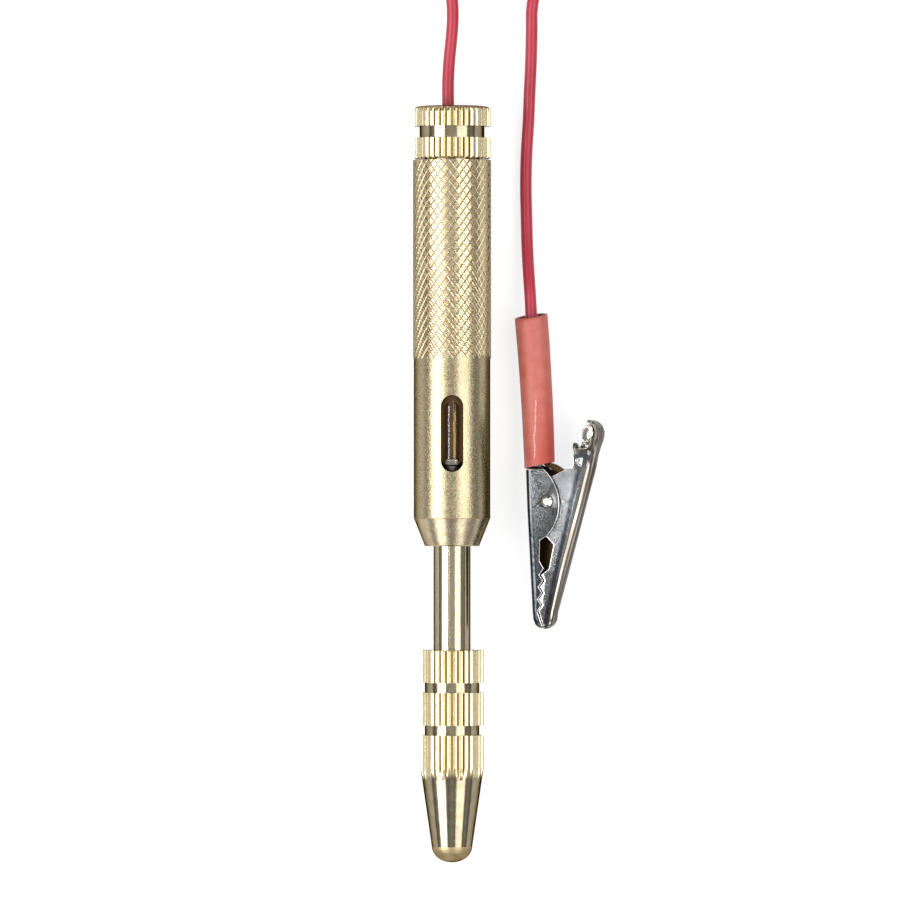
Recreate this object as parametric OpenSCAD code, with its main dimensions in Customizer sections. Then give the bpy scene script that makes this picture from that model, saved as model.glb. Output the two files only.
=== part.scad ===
// Pocket circuit tester: a turned brass barrel with a lamp behind a window, a probe under a
// screw-on tip cap, and a red lead that ends in a spring clip.
// It lies on its side. The barrel's axis runs along Y, the tip towards -Y, and the window faces +Z.

/* [Barrel] */
// Outer diameter of the barrel
barrel_d = 11.8; // [11:0.1:13.8]
// Bore that holds the lamp and its spring
barrel_bore_d = 8.6; // [8.2:0.1:9.6]
// Length of the diamond-knurled grip
grip_len = 30.3; // [27:0.1:40]
// Length of the smooth stretch with the window
smooth_len = 24.8; // [22:0.1:30]
// Length of the conical nose
nose_len = 4.3; // [3:0.1:7]
// Diameter at the small end of the nose
nose_end_d = 8.2; // [7:0.1:10]
// Solid brass between the bore and the small end of the nose
nose_floor = 5.5; // [3.5:0.1:8]
// Bevel on the barrel's two end edges
barrel_bevel = 0.15; // [0.1:0.05:0.4]

/* [Window] */
// Width of the lamp window
window_w = 3.45; // [2.6:0.05:5]
// Length of the lamp window
window_len = 11.8; // [8:0.1:14]
// Distance from the nose cone to the window
window_from_nose = 7.1; // [4:0.1:8.5]

/* [End cap] */
// Diameter over the knurled bands
cap_d = 12; // [11:0.1:14]
// Length of the rear knurled band
cap_rear_band = 3.1; // [2:0.1:5]
// Length of the plain groove between the bands
cap_groove_len = 1.8; // [1:0.1:3]
// Diameter of the plain groove
cap_groove_d = 10; // [8:0.1:10.8]
// Length of the front knurled band
cap_front_band = 3.2; // [2:0.1:5]
// Gap left between the cap and the barrel
cap_gap = 0.15; // [0.1:0.05:0.5]
// Number of knurl teeth round the cap
cap_teeth = 38; // [30:1:48]
// Depth of the straight knurls
knurl_depth = 0.28; // [0.16:0.02:0.44]
// Radius of the cap's rear edge
cap_round = 0.9; // [0.3:0.1:1.2]
// Thickness of the cap's end wall
cap_wall = 3; // [2:0.1:4]
// Hole that the lead passes through
cord_hole_d = 3.4; // [3.2:0.1:4.4]
// Length of the threaded spigot inside the barrel
spigot_len = 6; // [4:0.1:8]
// Wall of the threaded spigot
spigot_wall = 1.1; // [0.8:0.1:1.3]

/* [Lamp] */
// Overall length of the tubular lamp
lamp_len = 31; // [28:0.5:34]
// Diameter of the glass tube
lamp_glass_d = 6.2; // [5:0.1:6.8]
// Wall of the glass tube
lamp_glass_wall = 0.45; // [0.3:0.05:0.7]
// Length of each metal end
lamp_end_len = 7.7; // [7:0.1:9]
// Wall of the metal ends
lamp_end_wall = 0.2; // [0.15:0.05:0.3]
// Diameter of the filament coil
filament_d = 0.34; // [0.2:0.02:0.5]
// Length of the filament coil
filament_len = 7.3; // [5:0.1:10]

/* [Contact] */
// Width of the slot in the insulating tube
liner_slot_w = 2.3; // [1.6:0.1:3]
// Wall of the insulating tube
liner_wall = 0.6; // [0.4:0.05:0.8]
// Thickness of the brass contact disc
contact_t = 1; // [0.6:0.1:1.6]
// Thickness of the insulating washer under the cap
washer_t = 1; // [0.6:0.1:1.6]
// Wire of the contact spring
spring_wire_d = 0.6; // [0.4:0.05:0.8]
// Outer diameter of the contact spring
spring_d = 5.8; // [4.8:0.1:6.2]
// Turns of the contact spring
spring_turns = 6; // [4:1:9]

/* [Probe] */
// Diameter of the plated shaft
shaft_d = 5.7; // [5:0.1:6.2]
// Length of shaft in view between the nose and the tip cap
shaft_len = 16; // [12:0.1:24]
// Length of shaft inside the tip cap
shaft_thread_len = 10; // [7:0.1:12]
// Diameter of the steel needle
needle_d = 2.3; // [1.6:0.1:3]
// Length of needle beyond the shaft
needle_reach = 17; // [13:0.1:18]
// Length of the needle's point
needle_point = 6; // [3:0.1:9]
// Length of needle held inside the shaft
needle_root = 7; // [4:0.1:9]

/* [Tip cap] */
// Diameter over the tip cap's knurls
tip_d = 9.75; // [9:0.05:11]
// Length of each knurled band
tip_band = 5; // [4:0.1:6]
// Length of each groove
tip_groove_len = 1.55; // [1:0.05:2.5]
// Diameter of the grooves
tip_groove_d = 8.4; // [7.8:0.1:8.8]
// Number of knurl teeth round the tip cap
tip_teeth = 30; // [24:1:40]
// Length of the smooth taper
tip_taper = 12.1; // [10:0.1:15]
// Diameter where the taper meets the rounded end
tip_end_d = 6.25; // [5.4:0.05:7.4]
// Height of the rounded end
tip_dome = 2.5; // [1.5:0.1:3]

/* [Lead] */
// Outer diameter of the red lead
cord_d = 1.85; // [1.6:0.05:2.2]
// Diameter of the lead's bare core
core_d = 0.9; // [0.6:0.05:1.1]
// Length of the crimped stop inside the end cap
stop_len = 4; // [3:0.1:4.5]
// Outer diameter of the crimped stop
stop_d = 4.4; // [4:0.1:4.6]
// Thickness of the band that ties the coil
tie_t = 0.4; // [0.3:0.05:0.8]
// Width of the band that ties the coil
tie_w = 3.5; // [2:0.1:6]

/* [Clip] */
// Thickness of the clip's sheet steel
sheet_t = 0.5; // [0.4:0.05:0.6]
// Width of the fixed jaw at the rivet
clip_w = 6; // [5.4:0.1:6.6]
// Width of both jaws at the nose
clip_nose_w = 3.4; // [3:0.1:3.8]
// Width of the flared thumb pad
pad_w = 8.6; // [7.6:0.1:9.6]
// Shank diameter of the clip's rivet
rivet_d = 1.1; // [0.8:0.05:1.3]
// Diameter of the rivet's heads
rivet_head_d = 1.7; // [1.5:0.1:2.2]
// Height of the rivet's heads
rivet_head_h = 0.35; // [0.25:0.05:0.5]
// Spacing of the jaw teeth
tooth_pitch = 1.88; // [1.7:0.01:1.95]
// Depth of the jaw teeth
tooth_depth = 0.68; // [0.4:0.02:0.8]
// Gap between the closed rows of teeth
tooth_gap = 0.3; // [0.2:0.02:0.4]
// Wire of the clip's spring
clip_wire_d = 0.45; // [0.35:0.05:0.55]
// Outer diameter of the red sleeve at the jaws
sleeve_d = 4.75; // [4.65:0.05:5.2]
// Outer diameter of the red sleeve at its open end
sleeve_mouth_d = 5.1; // [4.8:0.1:5.6]
// Wall of the red sleeve
sleeve_wall = 0.4; // [0.3:0.05:0.5]
// Length of the red sleeve
sleeve_len = 22.8; // [18:0.1:24]

/* [Hidden] */
$fn = 64;

// Clearances: seated pieces, threads and running fits
seat_gap = 0.05;
thread_gap = 0.07;
run_gap = 0.05;
cut = 0.01;
crest_share = 0.4;

// Stations along the tester's axis, from the rounded tip to the cord end
tip_len = 3 * tip_band + 2 * tip_groove_len + tip_taper + tip_dome;
cap_len = cap_front_band + cap_groove_len + cap_rear_band;
tester_len = tip_len + shaft_len + nose_len + smooth_len + grip_len + cap_gap + cap_len;
y_tip = -tester_len / 2;
y_mouth = y_tip + tip_len;
y_nose = y_mouth + shaft_len;
y_cone = y_nose + nose_len;
y_grip = y_cone + smooth_len;
y_rear = y_grip + grip_len;
y_cap = y_rear + cap_gap;
y_end = y_cap + cap_len;
y_floor = y_nose + nose_floor;
y_spigot = y_cap - spigot_len;
y_washer = y_spigot - washer_t;
y_contact = y_floor + lamp_len;
y_spring = y_contact + contact_t;
y_shaft_end = y_mouth - shaft_thread_len;
y_point = y_shaft_end - needle_reach;
axis_z = max(barrel_d, cap_d) / 2;

liner_d = barrel_bore_d - 2 * seat_gap;
liner_bore_d = liner_d - 2 * liner_wall;
inner_d = liner_bore_d - 2 * seat_gap;
shaft_floor = 1;
end_room = 0.7;
needle_room = 0.5;
lamp_end_d = lamp_glass_d + 2 * (seat_gap + lamp_end_wall);
lamp_socket = 0.6;
lamp_tip_d = 2.6;
lamp_rim = 0.3;
lamp_dome = 4.2;
liner_from = y_cone + window_from_nose + 1.5;
liner_slot_to = y_cone + window_from_nose + window_len - 1;

// The lead leaves the cap a little off its centre, as it hangs loose in the hole
cord_x = -0.6;
cord_sides = 8;
wire_room = 0.5;
y_stop = y_end - cap_wall - stop_len;
coil_centre = [6.3, 90.5];
coil_mean_d = 20.4;
coil_columns = 4;
coil_layers = 3;
coil_top_columns = 2;
coil_pitch = cord_d + 0.01;
coil_in = coil_mean_d / 2 - (coil_columns - 1) / 2 * coil_pitch - cord_d / 2;
coil_out = coil_in + (coil_columns - 1) * coil_pitch + cord_d;
coil_step = coil_in + (coil_top_columns - 1) * coil_pitch + cord_d;
coil_base = tie_t;
coil_top = coil_base + (coil_layers - 1) * coil_pitch + cord_d;
coil_crown = coil_top + coil_pitch;
coil_bevel = cord_d / 3;

tester_route = [
    [cord_x, y_stop, axis_z], [cord_x, y_stop + stop_len, axis_z], [cord_x, y_end + cut, axis_z],
    [cord_x, 62, 6], [-0.4, 65.5, 6.1],
    [-0.1, 68.5, 6.3], [0.1, 71.5, 6.5], [0, 74.5, 6.7], [-0.6, 77.5, 6.9], [-1.4, 80.5, 6.9],
    [-2.2, 83.5, 6.9], [-2.7, 86.5, 6.9]
];
clip_route = [
    [19, 86, 1.4], [18, 82.5, 1.35], [16, 79, 1.3], [13.8, 76.5, 1.2], [12.7, 73.5, 1.1],
    [12.4, 70, 1], [12.2, 65.5, 0.95], [12, 61, 0.93], [11.8, 56, 0.93], [11.5, 51, 0.93],
    [11.4, 46, 0.95], [11.5, 41, 1.1], [11.6, 37, 1.4], [11.8, 33, 1.95], [12, 30, 2.4],
    [12.15, 27.4, 2.53]
];

// Clip frame: the rivet's centre is the origin, Z is the rivet, Y runs towards the sleeve
clip_at = [15.2, -2.63, 3.47];
clip_roll = 12;
side_gap = 0.35;
jaw_w = clip_w - 2 * (sheet_t + side_gap);
nose_y = -19.65;
tail_y = 6.6;
spine_x = -3.25;
spine_lean = 0.0376;
back_x = 5.66;
back_lean = 0.272;
fixed_bend = 0.8;
moving_bend = 1.5;
nose_wall = 0.8;
ear_centre = [-5.15, -0.4];
ear_r = 7.1;
near_throat = [[-1.3, -9.1], [-1.2, -6], [-0.5, -5.6]];
far_throat = [[-0.45, -9.9], [-0.1, -9.1], [0.5, -6.8], [0.55, -5.9]];
far_ear_centre = [-1.6, 1.2];
far_ear_r = 4.95;
far_ear_root = [-2.2, -1];
sleeve_mouth = [-1.76, 5.72, 0];
sleeve_lean = 3.42;
sleeve_droop = 0.65;
sleeve_skew = 5.5;
tooth_count = 4;
tooth_x = -0.6;
tooth_y = -10.35;
tooth_drift = -0.07;
crimp_from = 4;
crimp_len = 6;
crimp_bore_d = cord_d + 2 * seat_gap;
pad_top = 12.55;
pierced_at = [4.75, 6.3];
pierced_d = 0.6;
eye_centre = [6.2, 10.3];
eye_outer = [1.3, 1.7];
eye_hole = [0.52, 0.78];
eye_hole_shift = -0.27;
eye_lean = -28;
eye_w = 3;

// Shared helpers

function unit(v) = v / norm(v);
function tangent(path, i) = unit(path[min(i + 1, len(path) - 1)] - path[max(i - 1, 0)]);
function ring(c, t, r, sides) =
    let (s = unit(cross(t, [0, 0, 1])), u = cross(s, t))
    [for (k = [0:sides - 1]) c + r * (cos(360 * k / sides) * s + sin(360 * k / sides) * u)];
function arc(c, r, from, to, steps) =
    [for (i = [0:steps]) let (a = from + (to - from) * i / steps) c + r * [cos(a), sin(a)]];

// Closed skin through rings that have the same number of points each
module loft(rings) {
    n = len(rings[0]);
    m = len(rings);
    points = [for (one = rings) each one];
    walls = [for (i = [0:m - 2]) for (k = [0:n - 1])
        let (a = i * n + k, b = i * n + (k + 1) % n)
        each [[a, b + n, b], [a, a + n, b + n]]];
    first = [for (k = [0:n - 1]) k];
    last = [for (k = [n - 1:-1:0]) (m - 1) * n + k];
    polyhedron(points = points, faces = concat(walls, [first], [last]), convexity = 10);
}

module tube(path, d, sides) {
    loft([for (i = [0:len(path) - 1]) ring(path[i], tangent(path, i), d / 2, sides)]);
}

function clip_place(p) = clip_at + [
    p[0] * cos(clip_roll) - p[2] * sin(clip_roll), p[1], p[0] * sin(clip_roll) + p[2] * cos(clip_roll)
];

// Point on the sleeve's axis, at a distance from its end at the jaws
function sleeve_axis(s) = clip_place(sleeve_mouth + s * [
    -sin(sleeve_lean) * cos(sleeve_droop), cos(sleeve_lean) * cos(sleeve_droop), -sin(sleeve_droop)
]);

// Turns a shape modelled up the Z axis so that its Z becomes the tester's axis along Y
module on_axis() {
    translate([0, 0, axis_z]) rotate([-90, 0, 0]) children();
}

// Cylinder along the tester's axis between two stations
module rod(d, from, to) {
    on_axis() translate([0, 0, from]) cylinder(d = d, h = to - from);
}

// Turned shape: the profile lists radius and station
module turned(profile) {
    on_axis() rotate_extrude() polygon(profile);
}

// Tooth outline: crest_share of each pitch is crest, and the valleys are sharp
function knurl(teeth, d, depth) =
    [for (i = [0:teeth - 1])
        for (p = [[-crest_share / 2, d / 2], [crest_share / 2, d / 2], [0.5, d / 2 - depth]])
            let (a = (i + p[0]) * 360 / teeth) p[1] * [cos(a), sin(a)]];

module knurled(teeth, d, depth, from, to) {
    on_axis() translate([0, 0, from]) linear_extrude(to - from) polygon(knurl(teeth, d, depth));
}

// Tester

module barrel() {
    r = barrel_d / 2;
    slot_from = y_cone + window_from_nose + window_w / 2;
    slot_to = y_cone + window_from_nose + window_len - window_w / 2;
    color([0.78, 0.68, 0.42]) difference() {
        turned([
            [0, y_nose], [nose_end_d / 2, y_nose],
            [nose_end_d / 2 + barrel_bevel, y_nose + barrel_bevel], [r, y_cone],
            [r, y_rear - barrel_bevel], [r - barrel_bevel, y_rear], [0, y_rear]
        ]);
        rod(barrel_bore_d, y_floor, y_rear + cut);
        rod(shaft_d + 2 * seat_gap, y_nose - cut, y_floor - shaft_floor);
        translate([0, 0, axis_z]) linear_extrude(r + 1) {
            translate([-window_w / 2, slot_from]) square([window_w, slot_to - slot_from]);
            translate([0, slot_from]) circle(d = window_w);
            translate([0, slot_to]) circle(d = window_w);
        }
    }
}

module end_cap() {
    r = cap_d / 2;
    groove_from = y_cap + cap_front_band;
    groove_to = groove_from + cap_groove_len;
    spigot_d = barrel_bore_d - 2 * thread_gap;
    color([0.8, 0.7, 0.44]) difference() {
        union() {
            intersection() {
                knurled(cap_teeth, cap_d, knurl_depth, y_cap, y_end);
                turned(concat(
                    [[0, y_cap], [r - knurl_depth, y_cap], [r, y_cap + knurl_depth],
                     [r, groove_from], [cap_groove_d / 2, groove_from],
                     [cap_groove_d / 2, groove_to], [r, groove_to]],
                    arc([r - cap_round, y_end - cap_round], cap_round, 0, 90, 3),
                    [[0, y_end]]
                ));
            }
            rod(spigot_d, y_spigot, y_cap + cut);
        }
        rod(spigot_d - 2 * spigot_wall, y_spigot - cut, y_end - cap_wall);
        rod(cord_hole_d, y_spigot, y_end + cut);
    }
}

module lamp_glass() {
    from = y_floor + lamp_end_len - lamp_socket + seat_gap;
    to = y_contact - lamp_end_len + lamp_socket - seat_gap;
    color([0.85, 0.87, 0.88, 0.4]) difference() {
        rod(lamp_glass_d, from, to);
        rod(lamp_glass_d - 2 * lamp_glass_wall, from - cut, to + cut);
    }
}

// Metal lamp end, pointing down its own Z axis with the tip at the origin
module lamp_end() {
    r = lamp_end_d / 2;
    socket_r = r - lamp_end_wall;
    floor_z = lamp_end_len - lamp_socket;
    dome = arc([0, 0], 1, 65, 0, 5);
    dome_from = floor_z - lamp_rim;
    color([0.72, 0.72, 0.7]) rotate_extrude() polygon(concat(
        [[0, 0], [lamp_tip_d / 2 - lamp_rim, 0], [lamp_tip_d / 2, lamp_rim]],
        [for (p = dome) [socket_r * p[0], dome_from - lamp_dome * p[1]]],
        [[r, dome_from + lamp_end_wall], [r, lamp_end_len], [socket_r, lamp_end_len],
         [socket_r, floor_z], [0, floor_z]]
    ));
}

module lamp_front_end() {
    on_axis() translate([0, 0, y_floor]) lamp_end();
}

module lamp_rear_end() {
    on_axis() translate([0, 0, y_contact]) mirror([0, 0, 1]) lamp_end();
}

module lamp_filament() {
    from = y_floor + lamp_end_len - lamp_socket;
    to = y_contact - lamp_end_len + lamp_socket;
    coil_from = y_floor + lamp_end_len + 0.4;
    color([0.75, 0.66, 0.42]) {
        rod(filament_d, coil_from, coil_from + filament_len);
        rod(filament_d / 2, from, coil_from + cut);
        rod(filament_d / 2, coil_from + filament_len - cut, to);
    }
}

module contact_disc() {
    color([0.76, 0.64, 0.38]) rod(inner_d, y_contact, y_spring);
}

module contact_spring() {
    steps = 12;
    r = (spring_d - spring_wire_d) / 2;
    low = y_spring + spring_wire_d / 2 + seat_gap;
    high = y_washer - spring_wire_d / 2 - seat_gap;
    path = [for (i = [0:spring_turns * steps])
        [r * cos(360 * i / steps), r * sin(360 * i / steps),
         low + (high - low) * i / (spring_turns * steps)]];
    color([0.6, 0.6, 0.62]) on_axis() tube(path, spring_wire_d, 6);
}

module insulating_liner() {
    color([0.45, 0.3, 0.18]) difference() {
        rod(liner_d, liner_from, y_spigot);
        rod(liner_bore_d, liner_from - cut, y_spigot + cut);
        translate([0, 0, axis_z]) linear_extrude(liner_d) {
            translate([-liner_slot_w / 2, liner_from - 1])
                square([liner_slot_w, liner_slot_to - liner_slot_w / 2 - liner_from + 1]);
            translate([0, liner_slot_to - liner_slot_w / 2]) circle(d = liner_slot_w);
        }
    }
}

module insulating_washer() {
    color([0.4, 0.27, 0.17]) difference() {
        rod(inner_d, y_washer, y_spigot);
        rod(core_d + 2 * (abs(cord_x) + wire_room), y_washer - cut, y_spigot + cut);
    }
}

module probe_shaft() {
    color([0.72, 0.69, 0.58]) difference() {
        rod(shaft_d, y_shaft_end, y_floor - shaft_floor);
        rod(needle_d + 2 * seat_gap, y_shaft_end - cut, y_shaft_end + needle_root);
    }
}

module probe_needle() {
    r = needle_d / 2;
    color([0.66, 0.66, 0.67]) turned([
        [0, y_point], [0.15, y_point], [r, y_point + needle_point],
        [r, y_shaft_end + needle_root], [0, y_shaft_end + needle_root]
    ]);
}

module tip_cap() {
    r = tip_d / 2;
    groove_r = tip_groove_d / 2;
    end_r = tip_end_d / 2;
    a = y_mouth - tip_band;
    b = a - tip_groove_len;
    c = b - tip_band;
    d = c - tip_groove_len;
    e = d - tip_band;
    dome_from = y_tip + tip_dome;
    color([0.8, 0.7, 0.44]) difference() {
        intersection() {
            knurled(tip_teeth, tip_d, knurl_depth, y_tip, y_mouth);
            turned(concat(
                [[0, y_mouth], [r - knurl_depth / 2, y_mouth], [r, y_mouth - knurl_depth / 2],
                 [r, a], [groove_r, a], [groove_r, b], [r, b], [r, c],
                 [groove_r, c], [groove_r, d], [r, d], [r, e]],
                [for (p = arc([0, 0], 1, 0, 90, 8)) [end_r * p[0], dome_from - tip_dome * p[1]]]
            ));
        }
        rod(shaft_d + 2 * thread_gap, y_shaft_end - end_room, y_mouth + cut);
        rod(needle_d + 2 * needle_room, y_point - end_room, y_mouth);
    }
}

// Lead

module cord_stop() {
    color([0.74, 0.62, 0.36]) translate([cord_x, 0, 0]) difference() {
        rod(stop_d, y_stop, y_stop + stop_len);
        rod(cord_d + 2 * seat_gap, y_stop - cut, y_stop + stop_len + cut);
    }
}

module contact_wire() {
    color([0.75, 0.45, 0.3]) translate([cord_x, 0, 0]) rod(core_d, y_spring, y_stop);
}

module cord_to_tester() {
    color([0.78, 0.12, 0.2]) tube(tester_route, cord_d, cord_sides);
}

module cord_to_clip() {
    in_sleeve = [for (s = [20, 16, 12, 8, crimp_from + 0.1]) sleeve_axis(s)];
    color([0.78, 0.12, 0.2]) tube(concat(clip_route, in_sleeve), cord_d, cord_sides);
}

// Outline of the wound bundle, as distance from the coil's centre and height
function coil_outline(grow) = [
    [coil_in - grow, coil_base - grow], [coil_out + grow, coil_base - grow],
    [coil_out + grow, coil_top], [coil_step + grow, coil_crown + grow],
    [coil_in - grow, coil_crown + grow]
];

module cord_coil() {
    b = coil_bevel;
    color([0.78, 0.12, 0.2]) translate([coil_centre[0], coil_centre[1], 0]) rotate_extrude() polygon([
        [coil_in + b, coil_base], [coil_out - b, coil_base], [coil_out, coil_base + b],
        [coil_out, coil_top - b], [coil_out - b, coil_top], [coil_step, coil_top],
        [coil_step, coil_crown - b], [coil_step - b, coil_crown], [coil_in + b, coil_crown],
        [coil_in, coil_crown - b], [coil_in, coil_base + b]
    ]);
}

module cord_tie() {
    color([0.1, 0.1, 0.1]) translate([coil_centre[0] - tie_w / 2, coil_centre[1], 0])
        rotate([90, 0, 90]) linear_extrude(tie_w) difference() {
            polygon(coil_outline(tie_t));
            polygon(coil_outline(0));
        }
}

// Clip

module in_clip() {
    translate(clip_at) rotate([0, -clip_roll, 0]) children();
}

// Half-section of bent sheet: the back at x = 0, the walls running to x = -depth.
// bend is the outer bend radius, and flare is how much a wall leans out for each mm of depth.
function sheet_section(half, bend, flare, depth) =
    let (slope = sqrt(1 + flare * flare), lean = 90 - atan(flare), zc = half + bend * (flare - slope),
         upper = [for (i = [0:4]) let (a = lean * i / 4) [bend * (cos(a) - 1), zc + bend * sin(a)]])
    concat(
        [[-depth, -half - flare * depth]], [for (i = [4:-1:0]) [upper[i][0], -upper[i][1]]],
        upper, [[-depth, half + flare * depth]]
    );

// Each row of a sheet list gives: y, back's x, half width, bend radius, flare, depth
function sheet_rings(rows, inset) =
    [for (w = rows)
        let (slope = sqrt(1 + w[4] * w[4]), half = w[2] + inset * (w[4] - slope),
             bend = max(w[3] - inset, 0.15), depth = w[5] + 2 * inset)
        [for (p = sheet_section(half, bend, w[4], depth)) [w[1] - inset + p[0], w[0], -p[1]]]];

// Folded channel, open towards -x and closed at the ends by end_wall
module channel(rows, end_wall) {
    low = rows[0][0] + end_wall[0];
    high = rows[len(rows) - 1][0] - end_wall[1];
    difference() {
        loft(sheet_rings(rows, 0));
        intersection() {
            loft(sheet_rings([for (i = [0:len(rows) - 1])
                let (w = rows[i], shift = i == 0 ? -1 : i == len(rows) - 1 ? 1 : 0)
                [w[0] + shift, w[1], w[2], w[3], w[4], w[5]]], sheet_t));
            translate([-30, low, -15]) cube([60, high - low, 30]);
        }
    }
}

function tooth_row(gap) =
    [for (i = [0:2 * tooth_count - 1])
        [tooth_x + tooth_drift * i - (i % 2) * tooth_depth + gap, tooth_y - tooth_pitch * i / 2]];

function half_at(y) = y > -1 ? clip_w / 2
    : clip_w / 2 + (clip_nose_w - clip_w) / 2 * (y + 1) / (nose_y + 1);
function spine_at(y) = -spine_x + spine_lean * y;
function back_at(y) = back_x + back_lean * y;

module rivet_hole(d) {
    translate([0, 0, -clip_w]) cylinder(d = d, h = 2 * clip_w);
}

// Side view of a wall of the fixed jaw, with the edge of the throat behind the teeth
function fixed_outline(throat) = concat(
    [[-6, nose_y - 1], [-0.95, nose_y - 1], [-0.95, nose_y + 0.2], [-1.68, -17.1]],
    [for (i = [2 * tooth_count - 1:-1:0]) tooth_row(0)[i]],
    throat, arc(ear_centre, ear_r, -42, 54, 16),
    [[-1.7, 6], [-2.2, tail_y], [-2.4, tail_y + 3], [-6, tail_y + 3]]
);

module clip_fixed_jaw() {
    nose = clip_nose_w / 2;
    full = clip_w / 2;
    rows = concat(
        [[nose_y, 1, nose - 0.5, 0.5, 0, 8], [nose_y + 0.25, 1.7, nose - 0.3, 0.6, 0, 8],
         [nose_y + 0.65, 2.2, nose - 0.15, 0.65, 0, 8], [nose_y + 1.4, 2.5, nose, 0.7, 0, 8]],
        [for (y = [-17, -1, 4.95]) [y, spine_at(y), half_at(y), fixed_bend, 0, 8]],
        [[5.2, 3.47, full - 0.7, 1, 0, 8], [5.42, 3.5, 1.6, 1.1, 0, 8], [6.6, 3.44, 1.55, 1.1, 0, 8],
         [tail_y + 1.4, 3.15, 1.2, 1, 0, 8]]
    );
    color([0.68, 0.69, 0.7]) in_clip() difference() {
        union() {
            intersection() {
                union() {
                    linear_extrude(clip_w) polygon(fixed_outline(near_throat));
                    translate([0, 0, -clip_w]) linear_extrude(clip_w) polygon(fixed_outline(far_throat));
                }
                mirror([1, 0, 0]) channel(rows, [nose_wall, -0.5]);
            }
            far_ear();
            on_sleeve() crimp();
        }
        rivet_hole(rivet_d + 2 * seat_gap);
    }
}

// Lobe of the far wall, which reaches past the moving jaw's edge and under the sleeve
module far_ear() {
    lobe = arc(far_ear_centre, far_ear_r, -10, 84, 14);
    translate([0, 0, -clip_w / 2]) linear_extrude(sheet_t) polygon(concat(
        [far_ear_root, [far_ear_root[0] + 4.1, far_ear_root[1]]], lobe,
        [[far_ear_root[0], lobe[len(lobe) - 1][1]]]
    ));
}

// Open trough that turns into the closed barrel crimped round the lead
module crimp() {
    trough_from = 1;
    crimp_end = crimp_from + crimp_len;
    seam = 0.3;
    difference() {
        translate([0, 0, trough_from]) cylinder(d = crimp_bore_d + 2 * sheet_t, h = crimp_end - trough_from);
        cylinder(d = crimp_bore_d, h = crimp_end + cut);
        translate([0.4, -3, 0]) cube([3, 6, crimp_from]);
        translate([0, -seam / 2, 0]) cube([3, seam, crimp_end + cut]);
    }
}

module clip_moving_jaw() {
    nose = clip_nose_w / 2;
    half = jaw_w / 2;
    pad = pad_w / 2;
    rows = concat(
        [[nose_y, -0.6, nose - 0.5, 0.5, 0, 6], [nose_y + 0.2, -0.05, nose - 0.3, 0.6, 0, 6],
         [nose_y + 0.6, 0.45, nose - 0.1, 0.7, 0, 7], [nose_y + 1.3, 0.85, nose, 0.8, 0, 7.4]],
        [[-17, back_at(-17), nose + 0.1, 0.85, 0, 8], [-11, back_at(-11), half, 1.2, 0, 8],
         [0, back_at(0), half, moving_bend, 0, 8.8], [5, back_at(5), half, moving_bend, 0, 8.4]],
        [[7, 7.35, half + 0.2, moving_bend, 0, 4.6], [8.2, 7.6, half + 0.7, moving_bend, 0, 4.4],
         [9.2, 7.8, pad - 0.8, 1.4, 0.1, 4], [9.9, 7.88, pad - 0.7, 1.3, 0.5, 3],
         [10.8, 7.9, pad - 0.7, 1.3, 0.7, 2.4],
         [11.7, 7.65, pad - 1, 1.2, 0.6, 2], [12.25, 7.2, pad - 1.6, 1, 0.5, 1.6],
         [pad_top, 6.7, pad - 2.4, 0.8, 0.4, 1.2]]
    );
    outline = concat(
        [[9.5, nose_y - 1], [-0.8, nose_y - 1], [-0.8, nose_y + 0.2], [-1.5, -17.1 + tooth_gap / 2]],
        [for (i = [2 * tooth_count - 1:-1:1]) tooth_row(tooth_gap - 0.02 * i)[i]],
        [[0.12, -10.35], [0.88, -6.6], [-0.3, -5.4], [-1.6, -3], [-2.1, -0.5], [-1.7, 2.2],
         [0.66, 3.9], [2.6, 4.85], [3.5, 5.15], [3.95, 5.8], [3.95, 8.2], [4.2, 9], [4.8, 9.1],
         [5.1, 8.4], [5.6, 8.1], [6.3, 8.3], [6.9, 9.2], [7.25, 10.2], [7.3, 11.1], [6.9, 11.9],
         [6.2, 12.1], [6.1, 13], [9.5, 13]]
    );
    color([0.7, 0.71, 0.72]) in_clip() difference() {
        union() {
            intersection() {
                linear_extrude(20, center = true) polygon(outline);
                channel(rows, [nose_wall, sheet_t]);
            }
            thumb_eye();
        }
        rivet_hole(rivet_d + 2 * run_gap);
        translate([pierced_at[0], pierced_at[1], -clip_w]) cylinder(d = pierced_d, h = 2 * clip_w);
    }
}

// Curled eye inside the thumb pad, left by the folded-back end of the sheet
module thumb_eye() {
    translate(eye_centre) rotate([0, 0, eye_lean]) linear_extrude(eye_w, center = true) difference() {
        polygon([for (a = [0:20:340]) [eye_outer[0] * cos(a), eye_outer[1] * sin(a)]]);
        polygon([for (a = [0:20:340]) [eye_hole_shift + eye_hole[0] * cos(a), eye_hole[1] * sin(a)]]);
    }
}

module clip_rivet() {
    side = clip_w / 2 + 0.02;
    head_r = rivet_head_d / 2;
    color([0.74, 0.73, 0.7]) in_clip() rotate_extrude() polygon([
        [0, -side - rivet_head_h], [head_r * 0.6, -side - rivet_head_h],
        [head_r, -side - rivet_head_h * 0.4], [head_r, -side], [rivet_d / 2, -side],
        [rivet_d / 2, side], [head_r, side], [head_r, side + rivet_head_h * 0.4],
        [head_r * 0.6, side + rivet_head_h], [0, side + rivet_head_h]
    ]);
}

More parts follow.
